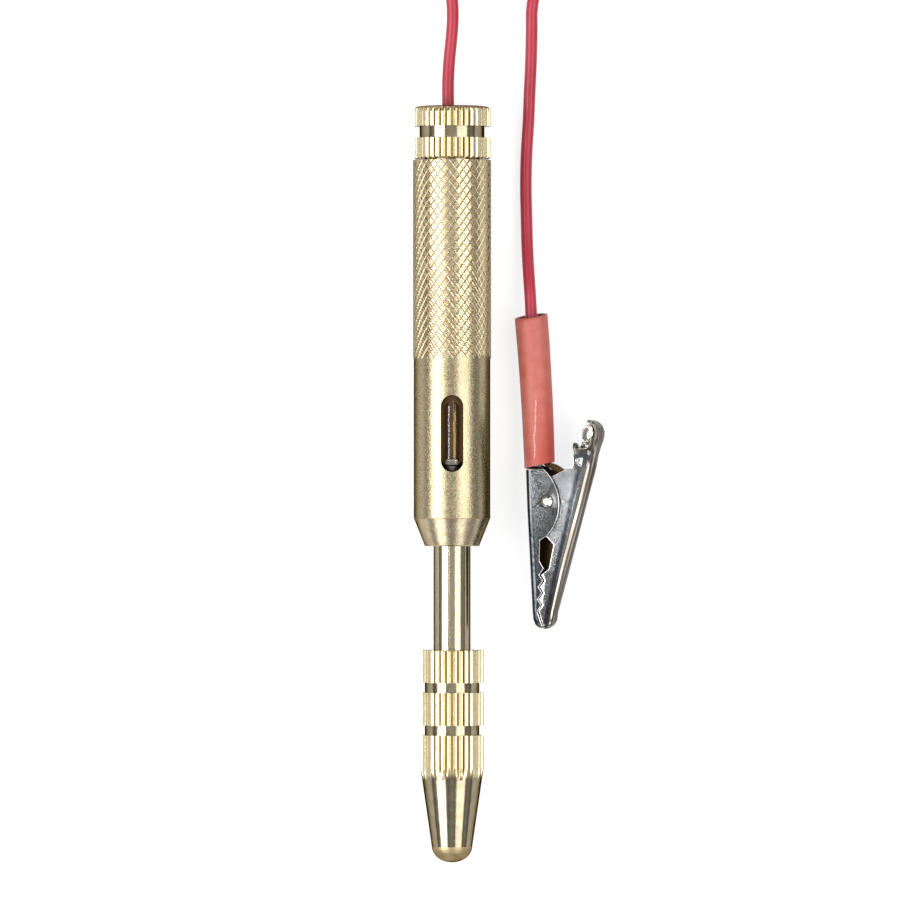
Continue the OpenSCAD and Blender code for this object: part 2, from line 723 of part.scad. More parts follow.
module clip_spring() {
    steps = 12;
    turns = 3;
    slack = 0.3;
    r = rivet_d / 2 + slack + clip_wire_d / 2;
    pitch = clip_wire_d + 0.08;
    start = -pitch * turns / 2;
    coil = [for (i = [0:turns * steps - 4])
        let (a = 205 + 360 * i / steps) [r * cos(a), r * sin(a), start + pitch * i / steps]];
    fixed_leg = [[-2.35, 4.4, start], [-2.1, 2.6, start]];
    moving_leg = [[2.4, 1.9, -start - 0.3], [5.6, 3.3, -start - 0.3]];
    color([0.62, 0.62, 0.63]) in_clip() tube(concat(fixed_leg, coil, moving_leg), clip_wire_d, 6);
}

// Places a shape that runs up Z along the sleeve, from the sleeve's mouth at the jaws
module on_sleeve() {
    translate(sleeve_mouth) rotate([0, 0, sleeve_lean]) rotate([-90 - sleeve_droop, 0, 0]) children();
}

// Soft sleeve, wider at its open end, both ends cut off a little askew
module clip_sleeve() {
    spare = 1;
    bore = sleeve_d - 2 * sleeve_wall;
    bore_mouth = sleeve_mouth_d - 2 * sleeve_wall;
    color([0.84, 0.33, 0.3]) in_clip() on_sleeve() intersection() {
        difference() {
            translate([0, 0, -spare])
                cylinder(d1 = sleeve_d, d2 = sleeve_mouth_d, h = sleeve_len + 2 * spare);
            translate([0, 0, -spare - cut])
                cylinder(d1 = bore, d2 = bore_mouth, h = sleeve_len + 2 * (spare + cut));
        }
        rotate([0, -sleeve_skew, 0]) translate([-10, -10, 0]) cube([20, 20, sleeve_len]);
    }
}

module clip_wire() {
    bare_from = 0.6;
    color([0.75, 0.45, 0.3]) in_clip() on_sleeve()
        translate([0, 0, bare_from]) cylinder(d = core_d, h = crimp_from - bare_from);
}

barrel();
end_cap();
lamp_glass();
lamp_front_end();
lamp_rear_end();
lamp_filament();
contact_disc();
contact_spring();
insulating_liner();
insulating_washer();
probe_shaft();
probe_needle();
tip_cap();
cord_stop();
contact_wire();
cord_to_tester();
cord_coil();
cord_tie();
cord_to_clip();
clip_wire();
clip_sleeve();
clip_fixed_jaw();
clip_moving_jaw();
clip_rivet();
clip_spring();
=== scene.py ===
"""Looks of the pocket circuit tester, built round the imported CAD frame.

Lengths are in metres, or in millimetres where a value is multiplied by MM or a comment says so.
"""

import math
import random

import bmesh
import bpy
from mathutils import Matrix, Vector

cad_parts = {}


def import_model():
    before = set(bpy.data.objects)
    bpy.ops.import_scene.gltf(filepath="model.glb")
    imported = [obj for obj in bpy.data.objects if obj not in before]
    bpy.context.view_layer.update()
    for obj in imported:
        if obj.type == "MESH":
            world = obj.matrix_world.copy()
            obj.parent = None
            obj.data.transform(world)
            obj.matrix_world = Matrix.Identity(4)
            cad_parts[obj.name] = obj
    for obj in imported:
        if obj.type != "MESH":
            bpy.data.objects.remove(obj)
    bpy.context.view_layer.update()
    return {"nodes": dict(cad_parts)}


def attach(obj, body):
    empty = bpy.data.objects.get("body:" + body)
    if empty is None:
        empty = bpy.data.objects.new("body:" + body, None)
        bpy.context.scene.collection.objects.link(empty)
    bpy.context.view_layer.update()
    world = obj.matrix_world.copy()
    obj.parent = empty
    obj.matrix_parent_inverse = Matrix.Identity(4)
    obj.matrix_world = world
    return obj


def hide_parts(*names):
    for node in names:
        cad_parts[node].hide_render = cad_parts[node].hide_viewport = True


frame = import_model()
nodes = frame["nodes"]
scene = bpy.context.scene
scene.view_settings.view_transform = "Standard"

# Shared values

MM = 0.001
AXIS_Z = 6 * MM
CORD_D = 1.85 * MM

# In mm: the diamond knurl of the grip, along the barrel and from its axis
GRIP_FROM, GRIP_TO = 19.625, 49.86
GRIP_CREST, GRIP_VALLEY = 6.0, 5.905

# In mm: the knurled caps and the line where the conical nose begins
TOOTH_RISE = 0.1
END_CAP_TEETH, TIP_CAP_TEETH = 38, 30
END_CREST, END_PLAIN_BELOW = 6.0, 5.4
TIP_CREST, TIP_PLAIN_BELOW = 4.875, 4.4
TIP_TAPER_SLOPE, TIP_TAPER_R = 0.14463, 11.177
TIP_TEETH_END = -47.0
GROOVE_DEPTH = 0.45
NOSE_Y = -5.195

# The rivet's place in mm and the clip's roll, which give the clip its own frame
CLIP_AT = (15.2, -2.63, 3.47)
CLIP_ROLL = math.radians(12)
# In mm in that frame: slope along Y, and value at the rivet, of the lines that its faces follow
SPINE_LINE = (-0.0376, -3.25)
FOLD_LINE = (0.272, 5.66)
FIXED_HALF_LINE, FIXED_HALF_MOST = (0.0697, 2.65), 2.58
MOVING_HALF_LINE, MOVING_HALF_MOST = (0.058, 2.37), 1.73
SHEET = 0.42
THUMB_Y = 6.9


def lerp(a, b, t):
    return a + (b - a) * t


def smooth(t):
    t = min(max(t, 0.0), 1.0)
    return t * t * (3 - 2 * t)


def points_mm(rows):
    return [Vector(row) * MM for row in rows]


# Camera

VIEW_CENTRE = Vector((-0.31, 5.29, 6.0)) * MM
VIEW_WIDTH = 138.46 * MM
CAMERA_HEIGHT = 1.5
CAMERA_NEAR, CAMERA_FAR = 0.05, 20
SENSOR = 36

camera_data = bpy.data.cameras.new("camera")
camera_data.sensor_width = SENSOR
camera_data.lens = SENSOR * CAMERA_HEIGHT / VIEW_WIDTH
camera_data.clip_start = CAMERA_NEAR
camera_data.clip_end = CAMERA_FAR
camera = bpy.data.objects.new("camera", camera_data)
camera.location = VIEW_CENTRE + Vector((0, 0, CAMERA_HEIGHT))
scene.collection.objects.link(camera)
scene.camera = camera


# Materials


class Shader:
    """A node material with one Principled shader, with its places in the object's coordinates."""

    def __init__(self, name, **sockets):
        self.material = bpy.data.materials.new(name)
        self.material.use_nodes = True
        self.tree = self.material.node_tree
        self.bsdf = next(n for n in self.tree.nodes if n.type == "BSDF_PRINCIPLED")
        for socket, value in sockets.items():
            self.bsdf.inputs[socket.replace("_", " ")].default_value = value
        self.coords = self.tree.nodes.new("ShaderNodeTexCoord").outputs["Object"]

    def node(self, kind, inputs=(), **settings):
        made = self.tree.nodes.new(kind)
        for key, value in settings.items():
            setattr(made, key, value)
        for key, value in dict(inputs).items():
            if isinstance(value, bpy.types.NodeSocket):
                self.tree.links.new(value, made.inputs[key])
            else:
                made.inputs[key].default_value = value
        return made

    def link(self, output, socket):
        self.tree.links.new(output, self.bsdf.inputs[socket])

    def math(self, operation, a, b=0.0):
        return self.node("ShaderNodeMath", {0: a, 1: b}, operation=operation).outputs[0]

    def add(self, a, b):
        return self.math("ADD", a, b)

    def sub(self, a, b):
        return self.math("SUBTRACT", a, b)

    def mul(self, a, b):
        return self.math("MULTIPLY", a, b)

    def above(self, a, b):
        return self.math("GREATER_THAN", a, b)

    def below(self, a, b):
        return self.math("LESS_THAN", a, b)

    def length(self, a, b):
        return self.math("SQRT", self.add(self.mul(a, a), self.mul(b, b)))

    def line(self, along, slope, start):
        return self.add(self.mul(along, slope), start)

    def place_mm(self):
        """X, Y and Z in mm."""
        split = self.node("ShaderNodeSeparateXYZ", {0: self.coords}).outputs
        return [self.mul(split[axis], 1 / MM) for axis in "XYZ"]

    def stretched(self, scale):
        """Coordinates scaled per axis, such as long along Y for drawn metal."""
        return self.node("ShaderNodeMapping", {"Vector": self.coords, "Scale": scale}).outputs[0]

    def noise(self, size_mm, detail=2, rough=0.5, vector=None):
        inputs = {
            "Vector": vector or self.coords,
            "Scale": 1 / (size_mm * MM),
            "Detail": detail,
            "Roughness": rough,
        }
        return self.node("ShaderNodeTexNoise", inputs).outputs["Fac"]

    def span(self, value, low, high, to_low=0.0, to_high=1.0):
        """The value's range from low to high, mapped to another range and held at its ends."""
        ends = {"From Min": low, "From Max": high, "To Min": to_low, "To Max": to_high}
        return self.node("ShaderNodeMapRange", {"Value": value, **ends}).outputs[0]

    def mix(self, factor, a, b):
        made = self.node("ShaderNodeMix", data_type="RGBA")
        for key, value in (("Factor", factor), ("A", a), ("B", b)):
            kinds = ("RGBA", "VALUE")
            socket = next(s for s in made.inputs if s.name == key and s.type in kinds and s.enabled)
            if isinstance(value, bpy.types.NodeSocket):
                self.tree.links.new(value, socket)
            else:
                socket.default_value = value if key == "Factor" else (*value, 1)
        return next(s for s in made.outputs if s.type == "RGBA")

    def bump(self, height, depth_mm, normal=None, strength=None):
        inputs = {"Height": height, "Distance": depth_mm * MM, "Strength": strength or 1.0}
        if normal:
            inputs["Normal"] = normal
        return self.node("ShaderNodeBump", inputs).outputs[0]


# In mm: size of the slow stains and of the turning lines. The others are the spans of a noise
# over which tones change, and steps of roughness.
STAIN_MM, TURNED_MM = 3.5, 0.09
GRAIN_TONES, STAIN_TONES, PATCH_TONES = (0.32, 0.62), (0.4, 0.75), (0.4, 0.6)
STAIN_ROUGHER = (-0.03, 0.04)
DIRT_AND_PAINTED_LIGHT_ROUGHER = 0.2


def speckled_metal(
    name, colour, shade, grain_mm, rough, relief_mm,
    lines_mm=0.0, stain=0.0, rim=None, dirt_and_painted_light=None, form=None, patches=(),
):
    """Metal with a fine grain, faint turning lines round the Y axis and slow changes of tone.

    rim is its tint at grazing angles; the dirt mask with its colour is real dirt on some metals,
    and painted shade and painted highlights on others; and form is a relief in mm. Each patch is
    a mask with a pattern, two colours, the roughness it adds and the relief it takes off.
    """
    s = Shader(name, Metallic=1.0)
    if rim:
        s.bsdf.inputs["Specular Tint"].default_value = (*rim, 1)
    grain = s.noise(grain_mm, 3, 0.65)
    slow = s.noise(STAIN_MM, 3, 0.55)
    colours = s.mix(s.span(grain, *GRAIN_TONES), shade, colour)
    if stain:
        colours = s.mix(s.span(slow, *STAIN_TONES, 0.0, stain), colours, shade)
    roughness = s.add(s.span(grain, 0.25, 0.75, *rough), s.span(slow, 0.3, 0.7, *STAIN_ROUGHER))
    strength = None
    for mask, low, high, rougher, calm in patches:
        share, pattern = mask(s)
        colours = s.mix(share, colours, s.mix(s.span(pattern, *PATCH_TONES), low, high))
        roughness = s.add(roughness, s.mul(share, rougher))
        kept = s.sub(1.0, s.mul(share, calm))
        strength = s.mul(strength, kept) if strength else kept
    # Real dirt on some metals, painted shade and painted highlights on others
    if dirt_and_painted_light:
        mask, dirt_and_painted_light_colour = dirt_and_painted_light
        share = mask(s)
        colours = s.mix(share, colours, dirt_and_painted_light_colour)
        roughness = s.add(roughness, s.mul(share, DIRT_AND_PAINTED_LIGHT_ROUGHER))
    s.link(colours, "Base Color")
    s.link(roughness, "Roughness")
    normal = s.bump(grain, relief_mm, None, strength)
    if lines_mm:
        turned = s.noise(TURNED_MM, 2, 0.7, s.stretched((0.02, 1.0, 0.02)))
        normal = s.bump(turned, lines_mm, normal)
    if form:
        normal = s.bump(form(s), 1.0, normal)
    s.link(normal, "Normal")
    return s.material


# Masks of the barrel and the caps. A mask for a patch also gives the pattern of the patch. Each
# pair of values in mm is where the mask begins and where it is full: along Y, from a line, from
# the axis or below the crests. A share is the most that the mask comes to.

TEETH_RUN_OUT = (-45.4, -43.6)
TAPER_BEGINS = (-44.4, -45.2)
DOME_BEGINS = (-55.66, -55.74)
NOSE_LINE_EDGE, NOSE_LINE_SHARE = (0.12, 0.05), 0.7
# Where the grip's grooves take grime and a painted highlight
GRIP_GRIME_AND_HIGHLIGHT, GRIP_GRIME_AND_HIGHLIGHT_SHARE = (GRIP_VALLEY + 0.045, GRIP_VALLEY + 0.01), 0.85
GRIP_GRIME_AND_HIGHLIGHT_FROM = GRIP_FROM + 0.075
CAP_GRIME, CAP_GRIME_SHARE = (0.12, 0.26), 0.6
# Size in mm and detail of a patch's pattern
TURNED_PATTERN, RUBBED_PATTERN = (1.2, 3), (1.6, 3)


def axis_distance(s):
    """Distance in mm from the tester's axis, and the station along it."""
    x, y, z = s.place_mm()
    return s.length(x, s.sub(z, AXIS_Z / MM)), y


def tip_crest(s, y):
    """Distance in mm of the tip cap's crests from the axis."""
    return s.math("MINIMUM", s.line(y, TIP_TAPER_SLOPE, TIP_TAPER_R), TIP_CREST)


def rounded_teeth(s, count):
    """Height in mm that rounds the flat crests of a straight knurl with a valley straight up."""
    x, _, z = s.place_mm()
    phase = s.mul(s.math("ARCTAN2", x, s.sub(z, AXIS_Z / MM)), count)
    return s.span(s.math("COSINE", phase), -1.0, 1.0, TOOTH_RISE, 0.0)


def end_cap_teeth(s):
    r, _ = axis_distance(s)
    return s.mul(rounded_teeth(s, END_CAP_TEETH), s.above(r, END_PLAIN_BELOW))


def tip_cap_teeth(s):
    r, y = axis_distance(s)
    toothed = s.mul(s.span(y, *TEETH_RUN_OUT), s.above(r, TIP_PLAIN_BELOW))
    return s.mul(rounded_teeth(s, TIP_CAP_TEETH), toothed)


def plain_of_end_cap(s):
    """1 in the plain groove of the end cap."""
    r, _ = axis_distance(s)
    return s.below(r, END_PLAIN_BELOW), s.noise(*TURNED_PATTERN)


def plain_of_tip_cap(s):
    """1 in the plain grooves of the tip cap and on its taper."""
    r, y = axis_distance(s)
    groove = s.above(s.sub(tip_crest(s, y), r), GROOVE_DEPTH)
    return s.math("MAXIMUM", groove, s.span(y, *TAPER_BEGINS)), s.noise(*TURNED_PATTERN)


def worn_dome(s):
    """1 on the rounded end of the tip cap, rubbed dull, and the rub's blotches."""
    _, y = axis_distance(s)
    return s.span(y, *DOME_BEGINS), s.noise(*RUBBED_PATTERN)


def turned_cone(s):
    """1 on the conical nose of the barrel, which is turned smooth."""
    _, y = axis_distance(s)
    return s.below(y, NOSE_Y), s.noise(*TURNED_PATTERN)


def nose_line(s):
    """The fine dark line where the conical nose meets the barrel."""
    _, y = axis_distance(s)
    from_line = s.math("ABSOLUTE", s.sub(y, NOSE_Y))
    return s.span(from_line, *NOSE_LINE_EDGE, 0.0, NOSE_LINE_SHARE)


def grip_grime_and_painted_highlight(s):
    """Grime in the grooves of the diamond knurl, painted paler than the brass as a painted
    highlight, so that the grooves read as light lines.
    """
    r, y = axis_distance(s)
    deep = s.span(r, *GRIP_GRIME_AND_HIGHLIGHT, 0.0, GRIP_GRIME_AND_HIGHLIGHT_SHARE)
    return s.mul(deep, s.above(y, GRIP_GRIME_AND_HIGHLIGHT_FROM))


def cap_dirt(s):
    """Grime between the teeth of the two caps, below the line of the crests."""
    r, y = axis_distance(s)
    rear = s.above(y, 0.0)
    crest = s.math("MAXIMUM", tip_crest(s, y), s.mul(rear, END_CREST))
    depth = s.sub(crest, r)
    deep = s.mul(s.span(depth, *CAP_GRIME, 0.0, CAP_GRIME_SHARE), s.below(depth, GROOVE_DEPTH))
    return s.mul(deep, s.math("MAXIMUM", rear, s.above(y, TIP_TEETH_END)))


# Masks of the clip, with values in mm in its own frame, as above

THUMB_BEGINS = (7.3, 7.9)
INSIDE_SHADE_SHARE = 0.92
BACK_EDGE = (1.15, 0.95)
FOLD_BAND_OUTER, FOLD_BAND_INNER = (1.55, 1.75), (2.45, 2.15)
FOLD_BAND_NARROWS, FOLD_BAND_ENDS = 0.045, (5.5, 4.0)
SPINE_BAND, SPINE_TO_TEETH, SPINE_LEAST = (1.2, 0.9), (1.0, -4.0), 0.3
THROAT_TO_RIVET, UPPER_WALL_SHARE = (-5.0, 0.0), 0.6
# The ring of painted shadow round the rivet's head
RIVET_SHADOW, RIVET_SHADOW_SHARE, RIVET_HEAD_ABOVE = (1.14, 1.02), 0.95, 2.0
STREAK_LENGTHENS, STREAK_SCALE = 0.03, 1.6
# Size in mm and detail of the pattern in the clip's patches, most of them painted shade
CLIP_PATCH_PATTERN = (0.6, 2)


def in_clip(s):
    """Coordinates in mm in the clip's own frame: the rivet is at the origin and Z runs along it."""
    x, y, z = (s.sub(place, at) for place, at in zip(s.place_mm(), CLIP_AT))
    cos, sin = math.cos(CLIP_ROLL), math.sin(CLIP_ROLL)
    along = s.add(s.mul(x, cos), s.mul(z, sin))
    across = s.sub(s.mul(z, cos), s.mul(x, sin))
    return along, y, s.math("ABSOLUTE", across)


def from_spine(s, x, y):
    return s.sub(x, s.line(y, *SPINE_LINE))


def from_fold(s, x, y):
    return s.sub(s.line(y, *FOLD_LINE), x)


def inside_shade_share(s, z, y, half_line, half_most, from_back):
    """1 on the inner faces of a jaw's folded sheet, which are painted dark brown as painted shade.
    """
    half = s.math("MINIMUM", s.line(y, *half_line), half_most)
    walls = s.above(s.sub(half, z), 0.0)
    back = s.above(from_back, SHEET)
    return s.mul(s.mul(walls, back), s.mul(s.below(y, THUMB_Y), INSIDE_SHADE_SHARE))


def shade_inside_fixed_jaw(s):
    x, y, z = in_clip(s)
    return inside_shade_share(s, z, y, FIXED_HALF_LINE, FIXED_HALF_MOST, from_spine(s, x, y))


def shade_inside_moving_jaw(s):
    x, y, z = in_clip(s)
    return inside_shade_share(s, z, y, MOVING_HALF_LINE, MOVING_HALF_MOST, from_fold(s, x, y))


def back_of_moving(s):
    """1 on the folded back of the moving jaw and on its thumb end, and streaks along them that are
    painted reflections of the rounded back.
    """
    x, y, z = in_clip(s)
    inwards = from_fold(s, x, y)
    share = s.math("MAXIMUM", s.span(inwards, *BACK_EDGE), s.span(y, *THUMB_BEGINS))
    along = s.mul(y, STREAK_LENGTHENS)
    place = s.node("ShaderNodeCombineXYZ", {0: inwards, 1: along, 2: z}).outputs[0]
    inputs = {"Vector": place, "Scale": STREAK_SCALE, "Detail": 2.0}
    return share, s.node("ShaderNodeTexNoise", inputs).outputs["Fac"]


def beside_the_fold(s):
    """1 in a band of the moving jaw's walls beside their fold, painted dark as painted shade, which
    narrows to the tip.
    """
    x, y, _ = in_clip(s)
    inwards = s.sub(from_fold(s, x, y), s.mul(y, FOLD_BAND_NARROWS))
    band = s.mul(s.span(inwards, *FOLD_BAND_OUTER), s.span(inwards, *FOLD_BAND_INNER))
    return s.mul(band, s.span(y, *FOLD_BAND_ENDS)), s.noise(*CLIP_PATCH_PATTERN)


def beside_the_spine(s):
    """1 along the bend of the fixed jaw, painted dark there as painted shade, more so towards the
    teeth.
    """
    x, y, _ = in_clip(s)
    near = s.span(from_spine(s, x, y), *SPINE_BAND)
    share = s.mul(near, s.span(y, *SPINE_TO_TEETH, SPINE_LEAST, 1.0))
    return share, s.noise(*CLIP_PATCH_PATTERN)


def upper_wall(s):
    """A part share from the throat to the rivet on, where the moving jaw is a little darker."""
    _, y, _ = in_clip(s)
    return s.span(y, *THROAT_TO_RIVET, 0.0, UPPER_WALL_SHARE), s.noise(*CLIP_PATCH_PATTERN)


def round_the_rivet(s):
    """1 in a ring of painted shadow round the head of the rivet."""
    x, y, z = in_clip(s)
    ring = s.span(s.length(x, y), *RIVET_SHADOW, 0.0, RIVET_SHADOW_SHARE)
    return s.mul(ring, s.above(z, RIVET_HEAD_ABOVE)), s.noise(*CLIP_PATCH_PATTERN)


# Colours and looks of the metals

GRIME = (0.34, 0.235, 0.115)
# Pale tan of the grip's grooves: grime, painted paler than the brass as a painted highlight
GROOVE_TAN = (0.90, 0.66, 0.40)
# Painted shade: the dark brown of the jaws' inner faces
INSIDE_PAINTED_SHADE = (0.12, 0.072, 0.032)
BRASS_RIM = (0.06, 0.04, 0.02)
PLAIN_BRASS = ((0.265, 0.225, 0.15), (0.305, 0.265, 0.18), -0.14, 0.35)
CAP_BRASS = {
    "colour": (0.74, 0.66, 0.44), "shade": (0.52, 0.42, 0.24), "grain_mm": 0.2,
    "rough": (0.18, 0.28), "relief_mm": 0.009, "lines_mm": 0.003, "stain": 0.2, "rim": BRASS_RIM,
    "dirt_and_painted_light": (cap_dirt, GRIME),
}
NICKEL = {
    "grain_mm": 0.19, "rough": (0.07, 0.15), "relief_mm": 0.007, "stain": 0.3,
    "rim": (0.4, 0.4, 0.4),
}
METALS = {
    "brass_barrel": {
        "colour": (0.44, 0.38, 0.255), "shade": (0.25, 0.20, 0.11), "grain_mm": 0.26,
        "rough": (0.18, 0.3), "relief_mm": 0.031, "stain": 0.25, "rim": BRASS_RIM,
        "dirt_and_painted_light": (nose_line, GRIME),
        "patches": ((turned_cone, (0.42, 0.35, 0.235), (0.5, 0.43, 0.30), 0.0, 0.3),),
    },
    "brass_grip": {
        "colour": (0.55, 0.475, 0.315), "shade": (0.39, 0.325, 0.195), "grain_mm": 0.2,
        "rough": (0.17, 0.29), "relief_mm": 0.016, "stain": 0.2, "rim": BRASS_RIM,
        "dirt_and_painted_light": (grip_grime_and_painted_highlight, GROOVE_TAN),
    },
    "brass_end_cap": {
        **CAP_BRASS, "form": end_cap_teeth, "patches": ((plain_of_end_cap, *PLAIN_BRASS),),
    },
    "brass_tip_cap": {
        **CAP_BRASS, "form": tip_cap_teeth,
        "patches": (
            (plain_of_tip_cap, *PLAIN_BRASS),
            (worn_dome, (0.30, 0.22, 0.12), (0.42, 0.33, 0.19), 0.35, 0.8),
        ),
    },
    "plated_shaft": {
        "colour": (0.41, 0.36, 0.265), "shade": (0.26, 0.215, 0.14), "grain_mm": 0.22,
        "rough": (0.06, 0.13), "relief_mm": 0.009, "stain": 0.4, "rim": BRASS_RIM,
    },
    "needle_steel": {
        "colour": (0.55, 0.55, 0.56), "shade": (0.42, 0.42, 0.43), "grain_mm": 0.2,
        "rough": (0.2, 0.3), "relief_mm": 0.003, "lines_mm": 0.003,
    },
    "lamp_metal": {
        "colour": (0.33, 0.315, 0.29), "shade": (0.14, 0.13, 0.11), "grain_mm": 0.3,
        "rough": (0.2, 0.35), "relief_mm": 0.02,
    },
    "bright_rim": {
        "colour": (0.95, 0.94, 0.90), "shade": (0.85, 0.83, 0.78), "grain_mm": 0.3,
        "rough": (0.12, 0.25), "relief_mm": 0.003,
    },
    "contact_brass": {
        "colour": (0.6, 0.5, 0.3), "shade": (0.42, 0.33, 0.17), "grain_mm": 0.2,
        "rough": (0.2, 0.3), "relief_mm": 0.004, "lines_mm": 0.004,
    },
    "spring_steel": {
        "colour": (0.5, 0.5, 0.51), "shade": (0.35, 0.35, 0.36), "grain_mm": 0.2,
        "rough": (0.25, 0.4), "relief_mm": 0.003,
    },
    "bare_copper": {
        "colour": (0.75, 0.42, 0.26), "shade": (0.55, 0.28, 0.16), "grain_mm": 0.2,
        "rough": (0.3, 0.45), "relief_mm": 0.004,
    },
    # The fixed jaw's plate is the moving jaw's nickel in a darker tone: painted shade
    "nickel_plate_fixed": {
        **NICKEL, "colour": (0.2, 0.202, 0.205), "shade": (0.028, 0.03, 0.033),
        "dirt_and_painted_light": (shade_inside_fixed_jaw, INSIDE_PAINTED_SHADE),
        "patches": (
            # Painted shadow round the rivet's head
            (round_the_rivet, (0.02, 0.018, 0.015), (0.05, 0.045, 0.04), 0.15, 0.6),
            # Painted shade along the bend
            (beside_the_spine, (0.03, 0.034, 0.04), (0.07, 0.075, 0.085), 0.0, 0.3),
        ),
    },
    "nickel_plate_moving": {
        **NICKEL, "colour": (0.4, 0.405, 0.41), "shade": (0.07, 0.075, 0.08),
        "dirt_and_painted_light": (shade_inside_moving_jaw, INSIDE_PAINTED_SHADE),
        "patches": (
            (upper_wall, (0.14, 0.145, 0.15), (0.2, 0.205, 0.21), 0.0, 0.3),
            # The back's own smooth plating, with painted reflections in streaks along it
            (back_of_moving, (0.09, 0.075, 0.055), (0.43, 0.39, 0.335), 0.0, 0.8),
            # Painted shade beside the fold
            (beside_the_fold, (0.045, 0.05, 0.06), (0.085, 0.095, 0.11), 0.0, 0.3),
        ),
    },
    "rivet_head": {
        "colour": (0.78, 0.77, 0.74), "shade": (0.6, 0.59, 0.56), "grain_mm": 0.3,
        "rough": (0.12, 0.22), "relief_mm": 0.003,
    },
}

# Glass and plastics

# In mm: height from which the insulating tube shows its own dark brown; below it the tube is
# painted paler, as painted light
TUBE_DARK_ABOVE = (8.4, 8.9)
# In mm: the sleeve's scuff, whose line leans and sways, and the deeper red to the right of it,
# which is painted shade
SCUFF_LEAN, SCUFF_SWAY = 0.0337, (12.36, 12.56)
SCUFF_EDGE, SCUFF_ABOVE = (0.13, 0.05), 3
SCUFF_FRONT, SCUFF_REAR = (3.4, 4.6), (14.4, 12.5)
DEEPER_ACROSS, DEEPER_ALONG, DEEPER_SHARE = (0.1, 1.5), (17, 5), 0.8


def glass():
    s = Shader("lamp_glass", Transmission_Weight=0.93, IOR=1.4)
    smear = s.noise(1.4, 3, 0.6)
    s.link(s.mix(smear, (0.62, 0.43, 0.22), (0.80, 0.61, 0.36)), "Base Color")
    s.link(s.span(smear, 0.3, 0.7, 0.05, 0.07), "Roughness")
    return s.material


def black_plastic():
    s = Shader("black_tie")
    slow = s.span(s.noise(4.0, 3), 0.3, 0.7)
    s.link(s.mix(slow, (0.02, 0.02, 0.022), (0.03, 0.03, 0.032)), "Base Color")
    grain = s.noise(0.3, 3, 0.55)
    s.link(s.span(grain, 0.3, 0.7, 0.35, 0.5), "Roughness")
    s.link(s.bump(grain, 0.008), "Normal")
    return s.material


def insulator():
    """Brown varnished paper tube, dark brown on its outer skin and the edges of its slot, and
    painted paler inside as painted light where little light comes in through the glass.
    """
    s = Shader("brown_insulator", Specular_IOR_Level=0.2)
    _, _, z = s.place_mm()
    layers = s.noise(0.5, 3, 0.6, s.stretched((1.0, 0.06, 1.0)))
    # Paler inside as painted light
    painted_lit_inside = s.mix(s.span(layers, 0.35, 0.65), (0.34, 0.19, 0.085), (0.62, 0.40, 0.22))
    s.link(s.mix(s.span(z, *TUBE_DARK_ABOVE), painted_lit_inside, (0.09, 0.044, 0.017)), "Base Color")
    s.link(s.span(layers, 0.3, 0.7, 0.4, 0.55), "Roughness")
    s.link(s.bump(layers, 0.006), "Normal")
    return s.material


def painted_filament_glow():
    # The lamp is off: the filament's faint glow is painted
    painted_glow = (1.0, 0.80, 0.45, 1.0)
    s = Shader("filament", Metallic=0.4, Emission_Color=painted_glow, Emission_Strength=0.4)
    grain = s.noise(0.2, 2)
    s.link(s.mix(grain, (0.92, 0.78, 0.45), (1.0, 0.92, 0.70)), "Base Color")
    s.link(s.span(grain, 0.3, 0.7, 0.4, 0.55), "Roughness")
    return s.material


def lead_material():
    """Soft glossy PVC with faint drawn streaks along the wire."""
    s = Shader("red_lead", Specular_IOR_Level=0.4, Coat_Weight=0.12, Coat_Roughness=0.2)
    slow = s.span(s.noise(6.0, 3), 0.35, 0.65)
    s.link(s.mix(slow, (0.375, 0.0155, 0.036), (0.44, 0.023, 0.048)), "Base Color")
    s.link(s.span(s.noise(0.5, 3), 0.3, 0.7, 0.34, 0.48), "Roughness")
    s.link(s.bump(s.noise(0.4, 2, 0.5, s.stretched((1.0, 0.25, 1.0))), 0.006), "Normal")
    return s.material


def sleeve_material():
    """Soft PVC with a pale scuff along the upper side and a deeper red beside it, which is painted
    shade.
    """
    s = Shader("red_sleeve", Specular_IOR_Level=0.4)
    x, y, z = s.place_mm()
    slow = s.span(s.noise(2.6, 4, 0.6), 0.3, 0.7)
    tone = s.mix(slow, (0.46, 0.105, 0.078), (0.54, 0.155, 0.122))
    sway = s.span(s.noise(2.2, 2), 0.3, 0.7, *SCUFF_SWAY)
    beside = s.sub(s.sub(x, s.mul(y, SCUFF_LEAN)), sway)
    # Painted shade: a deeper red to the right of the scuff, towards the jaws
    rearwards = s.span(y, *DEEPER_ALONG, 0.0, DEEPER_SHARE)
    painted_shade_side = s.mul(s.span(beside, *DEEPER_ACROSS), rearwards)
    tone = s.mix(painted_shade_side, tone, (0.45, 0.055, 0.04))
    near = s.span(s.math("ABSOLUTE", beside), *SCUFF_EDGE)
    near = s.mul(near, s.above(z, SCUFF_ABOVE))
    ends = s.mul(s.span(y, *SCUFF_FRONT), s.span(y, *SCUFF_REAR))
    worn = s.span(s.noise(0.45, 3), 0.36, 0.6, 0.15, 0.9)
    s.link(s.mix(s.mul(s.mul(near, ends), worn), tone, (0.85, 0.50, 0.45)), "Base Color")
    s.link(s.span(s.noise(0.25, 3, 0.6), 0.3, 0.7, 0.42, 0.6), "Roughness")
    s.link(s.bump(s.noise(0.22, 3, 0.6), 0.012), "Normal")
    return s.material


MATERIALS = {name: speckled_metal(name, **look) for name, look in METALS.items()}
MATERIALS["lamp_glass"] = glass()
MATERIALS["filament"] = painted_filament_glow()
MATERIALS["brown_insulator"] = insulator()
MATERIALS["black_tie"] = black_plastic()
MATERIALS["red_lead"] = lead_material()
MATERIALS["red_sleeve"] = sleeve_material()

# Lead: in mm, from the tester, through the winding behind it, to the clip

